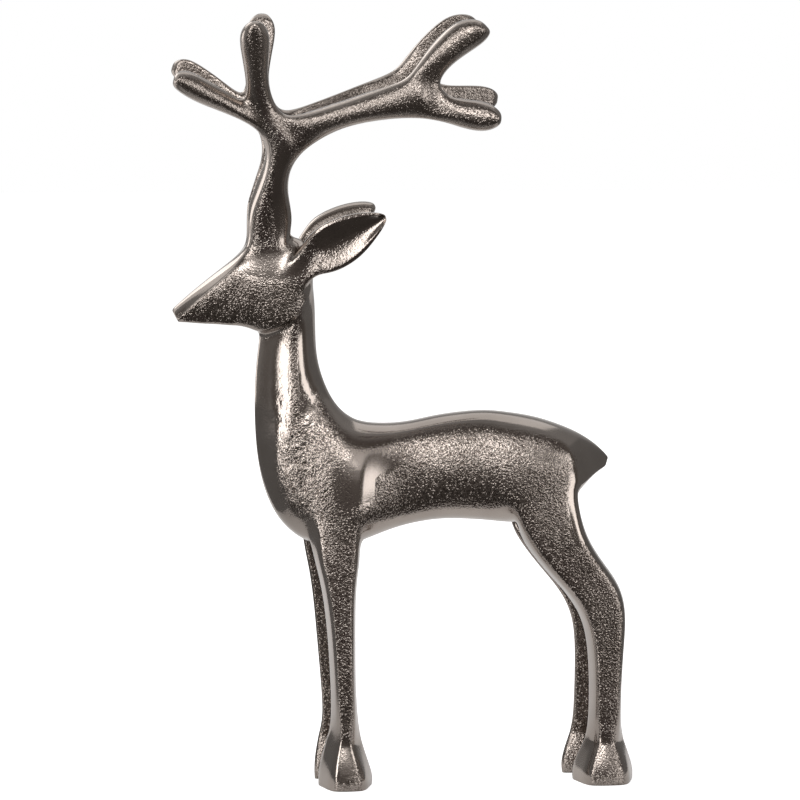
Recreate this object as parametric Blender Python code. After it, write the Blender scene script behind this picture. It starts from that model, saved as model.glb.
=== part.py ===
"""Standing stag with branched antlers, one dark nickel-finished aluminium casting.

Lengths are in metres, +Z is up, the nose points along -X and the four soles stand on z = 0.
The casting is drawn as one connected cage of rings: a trunk from the tail to the nose, and
legs, ears and antlers that grow out of openings left in it. The cage is drawn for the near
half, mirrored, leaned, and rounded as one surface. Places in the pose tables are shares of
the height, in 256ths, so at full size they read as millimetres.
"""

import math

import bmesh
import bpy
from mathutils import Matrix, Vector

# Driving sizes of the casting
HEIGHT = 0.256
TORSO_WIDTH = 0.030
NECK_WIDTH = 0.0160
HEAD_WIDTH = 0.0175
FRONT_LEG_SPACING = 0.0210
HIND_LEG_SPACING = 0.0216
LEG_WIDTH = 0.0086
HOOF_WIDTH = 0.0150
HOOF_CORNER = 0.86
FRONT_BEVEL = 0.0014
REAR_BEVEL = 0.0014
HOOF_BEVEL = 0.0038
BEVEL_SPREAD = 0.28
ANTLER_THICKNESS = 0.0062
ANTLER_RIM = 0.0040
STEM_BEVEL = 0.0022
EAR_THICKNESS = 0.0042
EAR_RIM = 0.0011
EAR_HOLLOW = 0.0007
EAR_CUP = 0.0024
EAR_BACK = 0.0013
HEAD_LEAN = 4.2
LEAN_START = 136.0
LEAN_END = 156.0
ROUNDING = 1
CAGE_ALLOWANCE = 0.10

SHARE = HEIGHT / 256

# Half-section shapes: how far from the back to the belly, and how far out to the side
ROUND_SIDE = ((0, 0), (0.035, 0.48), (0.17, 0.79), (0.53, 1.03), (0.83, 0.84), (0.965, 0.50), (1, 0))
TAIL_SIDE = ((0, 0), (0.05, 0.45), (0.22, 0.80), (0.52, 1.0), (0.88, 0.98), (0.985, 0.60), (1, 0))
SHOULDER_SIDE = ((0, 0), (0.045, 0.52), (0.23, 0.95), (0.50, 1.05), (0.78, 1.0), (0.96, 0.54), (1, 0))
HOLLOW_SIDE = ((0, 0), (0.035, 0.48), (0.17, 0.79), (0.46, 0.82), (0.82, 0.82), (0.965, 0.50), (1, 0))
HAUNCH_SIDE = ((0, 0), (0.04, 0.50), (0.20, 0.86), (0.52, 1.0), (0.80, 0.96), (0.96, 0.52), (1, 0))
SLAB_SIDE = ((0, 0), (0.045, 0.52), (0.23, 0.97), (0.50, 1.0), (0.78, 0.95), (0.96, 0.52), (1, 0))
NECK_SIDE = ((0, 0), (0.08, 0.52), (0.23, 0.86), (0.42, 1.0), (0.69, 0.64), (0.90, 0.22), (1, 0))
HEAD_REAR = ((0, 0), (0.05, 0.62), (0.30, 0.92), (0.56, 1.0), (0.80, 0.92), (0.97, 0.62), (1, 0))
HEAD_MIDDLE = ((0, 0), (0.13, 0.84), (0.40, 0.985), (0.62, 1.0), (0.82, 0.88), (0.975, 0.66), (1, 0))
FOREHEAD = ((0, 0), (0.06, 0.66), (0.14, 0.84), (0.42, 1.0), (0.76, 0.88), (0.97, 0.68), (1, 0))
BROW_SIDE = ((0, 0), (0.09, 0.56), (0.25, 0.93), (0.50, 1.0), (0.78, 0.87), (0.97, 0.70), (1, 0))
MUZZLE_SIDE = ((0, 0), (0.16, 0.56), (0.42, 1.0), (0.58, 0.97), (0.80, 0.88), (0.96, 0.72), (1, 0))
NOSE_SIDE = ((0, 0), (0.35, 0.62), (0.82, 1.0), (0.87, 0.97), (0.92, 0.90), (0.97, 0.76), (1, 0))

# The trunk from tail to nose: back (x, z), belly (x, z), half-width share, section, and how far
# the ring's middle bows towards the tail
TORSO = (
    ("tail_tip", (70.0, 107.8), (69.0, 104.4), 0.08, TAIL_SIDE, 0),
    ("tail", (65.5, 112.5), (64.8, 102.0), 0.36, TAIL_SIDE, 0),
    ("rump", (59.5, 116.5), (61.0, 98.5), 0.74, TAIL_SIDE, 0),
    ("thigh_back", (53.0, 119.3), (58.0, 94.0), 0.92, HAUNCH_SIDE, 0),
    ("thigh_mid", (44.5, 122.3), (48.5, 89.0), 1.02, HAUNCH_SIDE, 0),
    ("thigh_front", (34.0, 124.0), (38.6, 85.0), 1.04, HAUNCH_SIDE, -3.0),
    ("loin", (27.0, 124.6), (31.6, 86.3), 0.93, ROUND_SIDE, -3.0),
    ("barrel", (16.5, 123.6), (16.5, 87.5), 0.95, ROUND_SIDE, 0),
    ("girth", (9.5, 122.5), (8.5, 86.9), 0.90, ROUND_SIDE, 0),
    ("shoulder_hollow", (0.0, 120.2), (-2.5, 84.8), 0.91, HOLLOW_SIDE, 0),
    ("leg_back", (-12.6, 120.6), (-14.4, 79.5), 0.99, SHOULDER_SIDE, -2.6),
    ("leg_mid", (-17.5, 123.0), (-23.0, 78.0), 0.97, SLAB_SIDE, -2.0),
    ("leg_front", (-21.0, 126.0), (-32.0, 79.3), 0.86, SLAB_SIDE, -1.0),
    ("chest", (-24.0, 130.5), (-41.8, 87.0), 0.68, SLAB_SIDE, 0),
    ("breast", (-26.5, 136.5), (-47.2, 99.8), 0.58, SLAB_SIDE, 0),
)
NECK = (
    ("neck_low", (-27.8, 143.0), (-49.6, 112.6), 1.10, NECK_SIDE, 0),
    ("neck_mid", (-28.2, 149.0), (-49.9, 127.0), 1.02, NECK_SIDE, 0),
    ("neck_high", (-28.4, 155.0), (-49.4, 138.0), 0.97, NECK_SIDE, 0.5),
    ("neck_top", (-28.6, 160.6), (-48.5, 145.4), 0.98, NECK_SIDE, 1.2),
    ("throat", (-29.4, 166.2), (-48.0, 150.2), 1.04, NECK_SIDE, 4.0),
)
HEAD = (
    ("cheek_edge", (-29.6, 168.2), (-49.2, 151.3), 1.04, HEAD_REAR, 4.4),
    ("ear_back", (-29.4, 173.6), (-51.0, 152.0), 1.06, HEAD_REAR, 3.4),
    ("ear_mid", (-30.2, 178.8), (-53.0, 152.5), 1.04, HEAD_REAR, 2.4),
    ("poll", (-33.0, 182.6), (-55.0, 152.8), 1.0, HEAD_REAR, 1.4),
    ("antler_back", (-37.0, 183.2), (-57.5, 153.0), 0.94, HEAD_MIDDLE, 0.6),
    ("antler_mid", (-43.5, 181.2), (-60.0, 153.2), 0.87, HEAD_MIDDLE, 0),
    ("antler_front", (-50.6, 180.0), (-63.0, 153.4), 0.80, FOREHEAD, 0),
    ("brow", (-57.5, 174.3), (-66.5, 153.6), 0.74, BROW_SIDE, 0),
    ("muzzle", (-67.6, 166.8), (-70.5, 154.0), 0.58, MUZZLE_SIDE, 0),
    ("nose", (-76.7, 158.9), (-74.2, 154.5), 0.42, NOSE_SIDE, 0),
)

# The legs from the trunk down: front edge (x, z), back edge (x, z), width share
FRONT_LEG = (
    ((-29.6, 75.0), (-14.8, 75.0), 1.0),
    ((-28.0, 69.0), (-15.8, 69.0), 1.0),
    ((-26.4, 60.0), (-16.4, 60.0), 1.0),
    ((-25.2, 48.0), (-16.4, 48.0), 1.0),
    ((-24.3, 32.5), (-16.4, 32.5), 1.0),
    ((-24.1, 20.0), (-15.6, 20.0), 1.0),
)
FRONT_HOOF = (
    ((-25.6, 13.8), (-14.8, 13.8), 0.60),
    ((-27.4, 7.5), (-12.7, 7.5), 0.86),
    ((-28.1, 2.2), (-10.8, 2.2), 1.0),
    ((-28.0, -1.0), (-11.2, -1.0), 0.97),
)
HIND_LEG = (
    ((39.2, 82.0), (59.5, 87.5), 1.06),
    ((43.2, 76.0), (61.9, 80.5), 1.04),
    ((49.0, 69.0), (66.5, 73.3), 1.02),
    ((55.5, 62.0), (73.0, 65.0), 1.0),
    ((60.7, 53.5), (75.0, 55.5), 1.0),
    ((62.5, 42.0), (73.9, 43.0), 1.0),
    ((62.8, 27.0), (73.1, 27.0), 1.0),
    ((62.4, 17.5), (73.3, 17.5), 1.0),
)
HIND_HOOF = (
    ((61.6, 12.6), (73.8, 12.8), 0.60),
    ((59.1, 7.0), (76.0, 7.0), 0.86),
    ((57.6, 2.4), (77.5, 2.4), 1.0),
    ((58.0, -1.0), (77.2, -1.0), 0.97),
)

# The ear from its root: top edge (x, z), bottom edge (x, z), distance from the middle
EAR = (
    ((-32.2, 184.0), (-28.6, 170.8), 9.0),
    ((-27.2, 188.4), (-21.8, 172.6), 10.8),
    ((-19.4, 191.4), (-15.0, 177.4), 13.0),
    ((-12.4, 192.4), (-10.2, 184.0), 15.0),
    ((-7.8, 191.8), (-7.0, 189.4), 16.4),
)

# The antler: each branch as left edge (x, z), right edge (x, z), distance from the middle
STEM = (
    ((-51.9, 188.0), (-37.4, 188.5), 4.4),
    ((-49.2, 197.0), (-39.8, 197.5), 6.0),
    ((-46.1, 207.0), (-38.6, 206.0), 8.0),
)
STEM_FORK = ((-46.2, 218.2), (-52.8, 227.4), (-42.0, 223.8), (-33.6, 211.4))
STEM_FORK_HEART = (-43.6, 219.4)
STEM_FORK_OUT = 10.6
BROW_TINE = (
    ((-59.8, 224.7), (-58.2, 230.0), 12.7),
    ((-68.4, 228.1), (-66.0, 234.4), 14.2),
    ((-74.0, 231.4), (-72.2, 237.9), 15.4),
    ((-76.8, 233.6), (-76.0, 236.8), 16.0),
)
MIDDLE_TINE = (
    ((-52.2, 234.5), (-46.2, 233.4), 13.2),
    ((-53.2, 242.0), (-46.2, 241.6), 15.2),
    ((-54.7, 249.7), (-45.6, 249.7), 17.0),
    ((-51.8, 254.2), (-48.4, 254.2), 18.0),
)
REAR_BEAM = (
    ((-36.3, 222.2), (-28.8, 216.2), 12.0),
    ((-27.4, 225.2), (-23.2, 219.2), 13.6),
    ((-17.0, 228.9), (-15.2, 221.9), 16.0),
    ((-7.0, 232.5), (-4.5, 223.6), 18.6),
)
BEAM_FORK = ((-0.8, 236.0), (8.4, 234.2), (4.5, 222.8))
BEAM_FORK_HEART = (3.6, 230.2)
BEAM_FORK_OUT = 20.6
UPPER_TINE = (
    ((3.5, 241.6), (12.0, 240.2), 21.4),
    ((9.7, 249.0), (17.6, 244.5), 22.0),
    ((15.8, 254.3), (23.2, 248.2), 22.2),
    ((22.4, 254.9), (25.8, 251.4), 22.2),
)
LOWER_TINE = (
    ((12.5, 229.1), (12.0, 222.2), 22.0),
    ((19.0, 228.3), (19.0, 220.0), 23.4),
    ((25.4, 227.6), (25.2, 219.6), 24.6),
    ((29.2, 225.0), (29.0, 221.6), 25.2),
)

# Where an antler's outward ridge runs between its left and right edges
STEM_RIDGE = 0.60
TINE_RIDGE = 0.46
BEAM_RIDGE = 0.58

# How the casting's far half departs from a mirror image: (x, z), reach, shift in x and in z
FAR_BENDS = (
    (-78.0, 238.0, 34.0, 0.6, 2.0),
    (-50.0, 260.0, 44.0, 5.0, 0.6),
    (24.0, 256.0, 44.0, 2.6, -0.6),
    (32.0, 223.0, 34.0, 5.6, 2.6),
    (65.0, 22.0, 62.0, -2.6, 0.0),
    (-24.0, 50.0, 66.0, -2.6, 0.0),
)

# How sharp the drawn edges stay when the cage is rounded, from 0 to 1
BLADE = 1.0
CHEEK_EDGE = 0.72
PANEL_EDGE = 0.46
SOFT_EDGE = 0.30


class Cage:
    """The near half of the casting as points, faces and sharpened edges"""

    def __init__(self):
        self.points = []
        self.faces = []
        self.creases = {}

    def point(self, x, out, z):
        """Add a point at pose place (x, z) and a distance out from the middle; return its number"""
        self.points.append(Vector((x * SHARE, -out, z * SHARE)))
        return len(self.points) - 1

    def crease(self, chain, amount):
        for start, end in zip(chain, chain[1:]):
            self.creases[frozenset((start, end))] = amount

    def bridge(self, ring, following):
        """Join two closed rings of equal length with a band of faces"""
        count = len(ring)
        for i in range(count):
            j = (i + 1) % count
            self.faces.append((ring[i], ring[j], following[j], following[i]))


def half_ring(cage, back, belly, half_width, section, bow):
    """A trunk ring's near half, from the back's middle line to the belly's"""
    span = (belly[0] - back[0], belly[1] - back[1])
    length = math.hypot(*span)
    ring = []
    for along, out in section:
        push = bow * math.sin(math.pi * along)
        x = back[0] + span[0] * along - span[1] / length * push
        z = back[1] + span[1] * along + span[0] / length * push
        ring.append(cage.point(x, out * half_width, z))
    return ring


def end_cap(cage, ring):
    """Close a trunk end with four faces between its half ring and the middle line"""
    middle = []
    for i in (2, 3, 4):
        place = cage.points[ring[i]]
        middle.append(cage.point(place.x / SHARE, 0, place.z / SHARE))
    line = [ring[0]] + middle + [ring[6]]
    side = [ring[1]] + ring[2:5] + [ring[5]]
    cage.faces.append((ring[0], side[0], side[1], line[1]))
    cage.faces.append((line[1], side[1], side[2], line[2]))
    cage.faces.append((line[2], side[2], side[3], line[3]))
    cage.faces.append((line[3], side[3], side[4], ring[6]))


def trunk(cage):
    """Body, neck and head as one tube, with openings where limbs, ears and antlers start"""
    rings = {}
    openings = {
        ("thigh_back", 4), ("thigh_mid", 4), ("leg_back", 4), ("leg_mid", 4),
        ("ear_back", 1), ("ear_mid", 1), ("antler_back", 0), ("antler_mid", 0),
    }
    previous = None
    for stations, width in ((TORSO, TORSO_WIDTH), (NECK, NECK_WIDTH), (HEAD, HEAD_WIDTH)):
        for name, back, belly, share, section, bow in stations:
            ring = half_ring(cage, back, belly, share * width / 2, section, bow)
            rings[name] = ring
            if previous:
                for j in range(6):
                    if (previous, j) not in openings:
                        old = rings[previous]
                        cage.faces.append((old[j], old[j + 1], ring[j + 1], ring[j]))
            previous = name
    end_cap(cage, rings["tail_tip"])
    end_cap(cage, rings["nose"])
    cage.crease(rings["nose"], PANEL_EDGE)
    cage.crease(rings["cheek_edge"][1:6], CHEEK_EDGE)
    cage.crease(rings["leg_back"][2:5], CHEEK_EDGE)
    cage.crease(rings["thigh_back"][2:5], PANEL_EDGE)
    cage.crease(rings["thigh_front"][3:5], SOFT_EDGE)
    tail = [rings[name] for name in ("tail_tip", "tail", "rump", "thigh_back")]
    cage.crease([ring[4] for ring in tail], PANEL_EDGE)
    nape = [rings["breast"]] + [rings[station[0]] for station in NECK]
    cage.crease([ring[4] for ring in nape], PANEL_EDGE)
    snout = [rings[name] for name in ("antler_front", "brow", "muzzle", "nose")]
    cage.crease([ring[1] for ring in snout], SOFT_EDGE)
    cage.crease([ring[2] for ring in snout], PANEL_EDGE)
    jaw = [rings[station[0]] for station in HEAD]
    cage.crease([ring[5] for ring in jaw], PANEL_EDGE)
    return rings


def opening(rings, names, low, high):
    """The six points round an opening: inner front to back, then outer back to front"""
    front, middle, rear = (rings[name] for name in names)
    return [front[low], middle[low], rear[low], rear[high], middle[high], front[high]]


def between(start, end, share):
    return (start[0] + (end[0] - start[0]) * share, start[1] + (end[1] - start[1]) * share)


def limb_ring(cage, left, right, inner, outer, inner_ridge, outer_ridge, ridge_share=0.5):
    """A limb's ring of six: inner left to right, then outer right to left, over two ridges"""
    inward = ((left, inner), (between(left, right, 0.5), inner_ridge), (right, inner))
    outward = ((right, outer), (between(left, right, ridge_share), outer_ridge), (left, outer))
    return [cage.point(place[0], out, place[1]) for place, out in inward + outward]


def close_limb(cage, ring):
    """Two faces over a limb's end"""
    cage.faces.append((ring[0], ring[1], ring[4], ring[5]))
    cage.faces.append((ring[1], ring[2], ring[3], ring[4]))


def bevel(cage, ring, front, rear):
    """Bevel a leg's front and rear: draw its outward side in and spread its inward side a little"""
    along = (cage.points[ring[2]] - cage.points[ring[0]]).normalized()
    cage.points[ring[0]] -= along * front * BEVEL_SPREAD
    cage.points[ring[2]] += along * rear * BEVEL_SPREAD
    cage.points[ring[3]] -= along * rear * (1 - BEVEL_SPREAD)
    cage.points[ring[5]] += along * front * (1 - BEVEL_SPREAD)


def leg(cage, start, shank, hoof, spacing):
    """A flat-sided leg and its flared hoof, from an opening in the trunk to a flat sole"""
    rings = [start]
    middle = spacing / 2
    kinds = (
        (shank, LEG_WIDTH, 1, FRONT_BEVEL, REAR_BEVEL),
        (hoof, HOOF_WIDTH, HOOF_CORNER, HOOF_BEVEL, HOOF_BEVEL),
    )
    for stations, width, corner_share, front_bevel, rear_bevel in kinds:
        for front, back, share in stations:
            half = share * width / 2
            corner = half * corner_share
            sides = (middle - corner, middle + corner, middle - half, middle + half)
            rings.append(limb_ring(cage, front, back, *sides))
            bevel(cage, rings[-1], front_bevel, rear_bevel)
            cage.bridge(rings[-2], rings[-1])
    close_limb(cage, rings[-1])
    for inward, outward in ((0, 5), (2, 3)):
        cage.crease([ring[inward] for ring in rings], PANEL_EDGE)
        cage.crease([ring[outward] for ring in rings[:len(shank) + 1]], SOFT_EDGE)
        cage.crease([ring[outward] for ring in rings[len(shank) + 1:]], PANEL_EDGE)
    hoof_top = rings[len(shank) + 1]
    cage.crease(hoof_top + hoof_top[:1], CHEEK_EDGE)
    sole = rings[-1]
    cage.crease(sole + sole[:1], BLADE)


def ear(cage, start):
    """A leaf-shaped ear; its outward face is hollowed later"""
    rings = [start]
    for top, bottom, out in EAR:
        inner = out * SHARE - EAR_THICKNESS / 2
        outer = out * SHARE + EAR_THICKNESS / 2
        rings.append(limb_ring(cage, top, bottom, inner, outer, inner - EAR_BACK, outer - EAR_CUP))
        cage.bridge(rings[-2], rings[-1])
    close_limb(cage, rings[-1])
    for edge in (3, 5):
        cage.crease([ring[edge] for ring in rings[1:]], PANEL_EDGE)
    hollow = []
    for ring, following in zip(rings[1:-1], rings[2:]):
        hollow.append((ring[3], ring[4], following[4], following[3]))
        hollow.append((ring[4], ring[5], following[5], following[4]))
    return hollow


def antler_ring(cage, left, right, out, ridge_share):
    """A ring across an antler branch: flat inward face, thin rim, raised outward ridge"""
    inner = out * SHARE - ANTLER_THICKNESS / 2
    spare = [(left[i] - right[i]) * CAGE_ALLOWANCE for i in (0, 1)]
    wide_left = (left[0] + spare[0], left[1] + spare[1])
    wide_right = (right[0] - spare[0], right[1] - spare[1])
    sides = (inner, inner + ANTLER_RIM, inner, inner + ANTLER_THICKNESS)
    return limb_ring(cage, wide_left, wide_right, *sides, ridge_share)


def fork(cage, corners, heart, out):
    """The middle of a fork: returns the ring that each branch starts from, in corner order"""
    inner = out * SHARE - ANTLER_THICKNESS / 2
    rim = [(cage.point(x, inner, z), cage.point(x, inner + ANTLER_RIM, z)) for x, z in corners]
    middles = []
    for i, corner in enumerate(corners):
        other = corners[(i + 1) % len(corners)]
        x = (corner[0] + other[0]) / 2
        z = (corner[1] + other[1]) / 2
        middles.append((cage.point(x, inner, z), cage.point(x, inner + ANTLER_THICKNESS, z)))
    centre = [cage.point(heart[0], depth, heart[1]) for depth in (inner, inner + ANTLER_THICKNESS)]
    starts = []
    for i in range(len(corners)):
        j = (i + 1) % len(corners)
        for layer in (0, 1):
            cage.faces.append((centre[layer], middles[i][layer], rim[j][layer], middles[j][layer]))
        starts.append([rim[i][0], middles[i][0], rim[j][0], rim[j][1], middles[i][1], rim[i][1]])
    return starts


def branch(cage, start, stations, ridge_share, bevel_depth=0, closed=True):
    """A run of antler rings from a starting ring, closed at its tip"""
    rings = [start]
    for left, right, out in stations:
        rings.append(antler_ring(cage, left, right, out, ridge_share))
        cage.points[rings[-1][5]] += Vector((bevel_depth, -bevel_depth, 0))
        cage.bridge(rings[-2], rings[-1])
    if closed:
        close_limb(cage, rings[-1])
    for corner in (0, 2):
        cage.crease([ring[corner] for ring in rings[1:]], PANEL_EDGE)
    return rings[-1]


def antler(cage, start):
    """A stem that forks into brow tine, middle tine and rear beam, which forks once more"""
    stem_top = branch(cage, start, STEM, STEM_RIDGE, STEM_BEVEL, closed=False)
    brow, middle, rear, stem = fork(cage, STEM_FORK, STEM_FORK_HEART, STEM_FORK_OUT)
    cage.bridge(stem_top, [stem[2], stem[1], stem[0], stem[5], stem[4], stem[3]])
    branch(cage, brow, BROW_TINE, TINE_RIDGE)
    branch(cage, middle, MIDDLE_TINE, TINE_RIDGE)
    beam_end = branch(cage, rear, REAR_BEAM, BEAM_RIDGE, closed=False)
    upper, lower, beam = fork(cage, BEAM_FORK, BEAM_FORK_HEART, BEAM_FORK_OUT)
    cage.bridge(beam_end, [beam[2], beam[1], beam[0], beam[5], beam[4], beam[3]])
    branch(cage, upper, UPPER_TINE, BEAM_RIDGE)
    branch(cage, lower, LOWER_TINE, BEAM_RIDGE)


def bend(place):
    """Shift a far-side point, such as a tine's end, to where this casting has it"""
    moved = place.copy()
    for x, z, reach, shift_x, shift_z in FAR_BENDS:
        away = math.hypot(place.x / SHARE - x, place.z / SHARE - z) / reach
        share = max(0, 1 - away)
        eased = share * share * (3 - 2 * share)
        moved.x += shift_x * eased * SHARE
        moved.z += shift_z * eased * SHARE
    return moved


def lean(place):
    """Lean the head and all above it to one side, easing in along the top of the neck"""
    share = (place.z / SHARE - LEAN_START) / (LEAN_END - LEAN_START)
    share = min(max(share, 0), 1)
    eased = share * share * (3 - 2 * share)
    pivot = Vector((0, 0, (LEAN_START + LEAN_END) / 2 * SHARE))
    turn = Matrix.Rotation(math.radians(HEAD_LEAN) * eased, 3, "X")
    return pivot + turn @ (place - pivot)


def half_shape():
    """The near half as a mesh, with its drawn creases and its ear hollowed"""
    cage = Cage()
    rings = trunk(cage)
    shoulder = opening(rings, ("leg_front", "leg_mid", "leg_back"), 5, 4)
    haunch = opening(rings, ("thigh_front", "thigh_mid", "thigh_back"), 5, 4)
    leg(cage, shoulder, FRONT_LEG, FRONT_HOOF, FRONT_LEG_SPACING)
    leg(cage, haunch, HIND_LEG, HIND_HOOF, HIND_LEG_SPACING)
    hollow = ear(cage, opening(rings, ("poll", "ear_mid", "ear_back"), 1, 2))
    antler(cage, opening(rings, ("antler_front", "antler_mid", "antler_back"), 0, 1))
    shape = bmesh.new()
    points = [shape.verts.new(place) for place in cage.points]
    shape.verts.index_update()
    hollow_faces = []
    for face in cage.faces:
        made = shape.faces.new([points[i] for i in face])
        if face in hollow:
            hollow_faces.append(made)
    sharpness = shape.edges.layers.float.new("crease_edge")
    for edge in shape.edges:
        key = frozenset(point.index for point in edge.verts)
        edge[sharpness] = cage.creases.get(key, 0)
    bmesh.ops.recalc_face_normals(shape, faces=shape.faces)
    rim = {"thickness": EAR_RIM, "depth": -EAR_HOLLOW, "use_even_offset": True}
    bmesh.ops.inset_region(shape, faces=hollow_faces, **rim)
    return shape


def stand_centred(piece):
    """Move the mesh so that its soles are on z = 0 and its rounded box is centred on the Z axis"""
    rounded = piece.evaluated_get(bpy.context.evaluated_depsgraph_get()).data
    lows = [min(point.co[axis] for point in rounded.vertices) for axis in range(3)]
    highs = [max(point.co[axis] for point in rounded.vertices) for axis in range(3)]
    middle = Vector(((lows[0] + highs[0]) / 2, (lows[1] + highs[1]) / 2, lows[2]))
    piece.data.transform(Matrix.Translation(-middle))
    piece.data.update()


def casting():
    """The whole casting, centred over its footprint"""
    shape = half_shape()
    everything = shape.verts[:] + shape.edges[:] + shape.faces[:]
    bmesh.ops.mirror(shape, geom=everything, axis="Y", merge_dist=0.00001)
    for point in shape.verts:
        if point.co.y > 0:
            point.co = bend(point.co)
        point.co = lean(point.co)
    bmesh.ops.recalc_face_normals(shape, faces=shape.faces)
    mesh = bpy.data.meshes.new("reindeer")
    shape.to_mesh(mesh)
    shape.free()
    mesh.shade_smooth()
    piece = bpy.data.objects.new("reindeer", mesh)
    bpy.context.collection.objects.link(piece)
    rounding = piece.modifiers.new("rounding", "SUBSURF")
    rounding.levels = ROUNDING
    rounding.render_levels = ROUNDING
    stand_centred(piece)
    return piece


def dark_nickel():
    material = bpy.data.materials.new("dark nickel")
    material.use_nodes = True
    surface = material.node_tree.nodes["Principled BSDF"]
    surface.inputs["Base Color"].default_value = (0.115, 0.100, 0.090, 1)
    surface.inputs["Metallic"].default_value = 1
    surface.inputs["Roughness"].default_value = 0.32
    return material


for old in list(bpy.data.objects):
    bpy.data.objects.remove(old)
reindeer = casting()
reindeer.data.materials.append(dark_nickel())
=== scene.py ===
"""Standing stag with branched antlers: one dark nickel-finished sand casting on a pale table."""

import math

import bmesh
import bpy
import numpy as np
from mathutils import Matrix, Vector


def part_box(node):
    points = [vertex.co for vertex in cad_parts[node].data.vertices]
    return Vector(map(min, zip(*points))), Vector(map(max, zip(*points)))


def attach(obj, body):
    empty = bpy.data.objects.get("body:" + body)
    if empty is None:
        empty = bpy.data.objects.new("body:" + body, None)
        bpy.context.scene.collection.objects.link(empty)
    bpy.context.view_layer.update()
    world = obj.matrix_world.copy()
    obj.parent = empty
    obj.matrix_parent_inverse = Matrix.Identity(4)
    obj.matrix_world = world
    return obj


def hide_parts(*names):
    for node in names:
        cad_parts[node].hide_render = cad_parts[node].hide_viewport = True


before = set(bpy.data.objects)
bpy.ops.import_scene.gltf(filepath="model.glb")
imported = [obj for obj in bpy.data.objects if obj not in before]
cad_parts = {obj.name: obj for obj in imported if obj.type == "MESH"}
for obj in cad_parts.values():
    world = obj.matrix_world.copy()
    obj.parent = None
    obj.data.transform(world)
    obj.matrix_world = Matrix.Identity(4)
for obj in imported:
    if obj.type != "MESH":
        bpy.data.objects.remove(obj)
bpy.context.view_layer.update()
bpy.ops.object.select_all(action="DESELECT")


# The casting: one solid aluminium figure, sand cast, ground and plated dark nickel. Its body, neck
# and head are one tube. The cage of that tube is extruded ring by ring from the tail to the nose,
# as its near half. Places are (x, z) in millimetres, and the nose points along -x.
MM = 0.001
TORSO_WIDTH = 30.0
NECK_WIDTH = 16.0
HEAD_WIDTH = 17.5
PANEL_EDGE = 0.46
CHEEK_EDGE = 0.72
SOFT_EDGE = 0.30
BLADE = 1.0

# Half sections: how far from the back to the belly, and how far out to the side
ROUND_SIDE = ((0, 0), (0.035, 0.48), (0.17, 0.79), (0.53, 1.03), (0.83, 0.84), (0.965, 0.50), (1, 0))
TAIL_SIDE = ((0, 0), (0.05, 0.45), (0.22, 0.80), (0.52, 1.0), (0.88, 0.98), (0.985, 0.60), (1, 0))
SHOULDER_SIDE = ((0, 0), (0.045, 0.52), (0.23, 0.95), (0.50, 1.05), (0.78, 1.0), (0.96, 0.54), (1, 0))
HOLLOW_SIDE = ((0, 0), (0.035, 0.48), (0.17, 0.79), (0.46, 0.82), (0.82, 0.82), (0.965, 0.50), (1, 0))
HAUNCH_SIDE = ((0, 0), (0.04, 0.50), (0.20, 0.86), (0.52, 1.0), (0.80, 0.96), (0.96, 0.52), (1, 0))
SLAB_SIDE = ((0, 0), (0.045, 0.52), (0.23, 0.97), (0.50, 1.0), (0.78, 0.95), (0.96, 0.52), (1, 0))
NECK_SIDE = ((0, 0), (0.08, 0.52), (0.23, 0.86), (0.42, 1.0), (0.69, 0.64), (0.90, 0.22), (1, 0))
HEAD_REAR = ((0, 0), (0.05, 0.62), (0.30, 0.92), (0.56, 1.0), (0.80, 0.92), (0.97, 0.62), (1, 0))
HEAD_MIDDLE = ((0, 0), (0.13, 0.84), (0.40, 0.985), (0.62, 1.0), (0.82, 0.88), (0.975, 0.66), (1, 0))
FOREHEAD = ((0, 0), (0.06, 0.66), (0.14, 0.84), (0.42, 1.0), (0.76, 0.88), (0.97, 0.68), (1, 0))
BROW_SIDE = ((0, 0), (0.09, 0.56), (0.25, 0.93), (0.50, 1.0), (0.78, 0.87), (0.97, 0.70), (1, 0))
MUZZLE_SIDE = ((0, 0), (0.16, 0.56), (0.42, 1.0), (0.58, 0.97), (0.80, 0.88), (0.96, 0.72), (1, 0))
NOSE_SIDE = ((0, 0), (0.35, 0.62), (0.82, 1.0), (0.87, 0.97), (0.92, 0.90), (0.97, 0.76), (1, 0))

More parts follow.
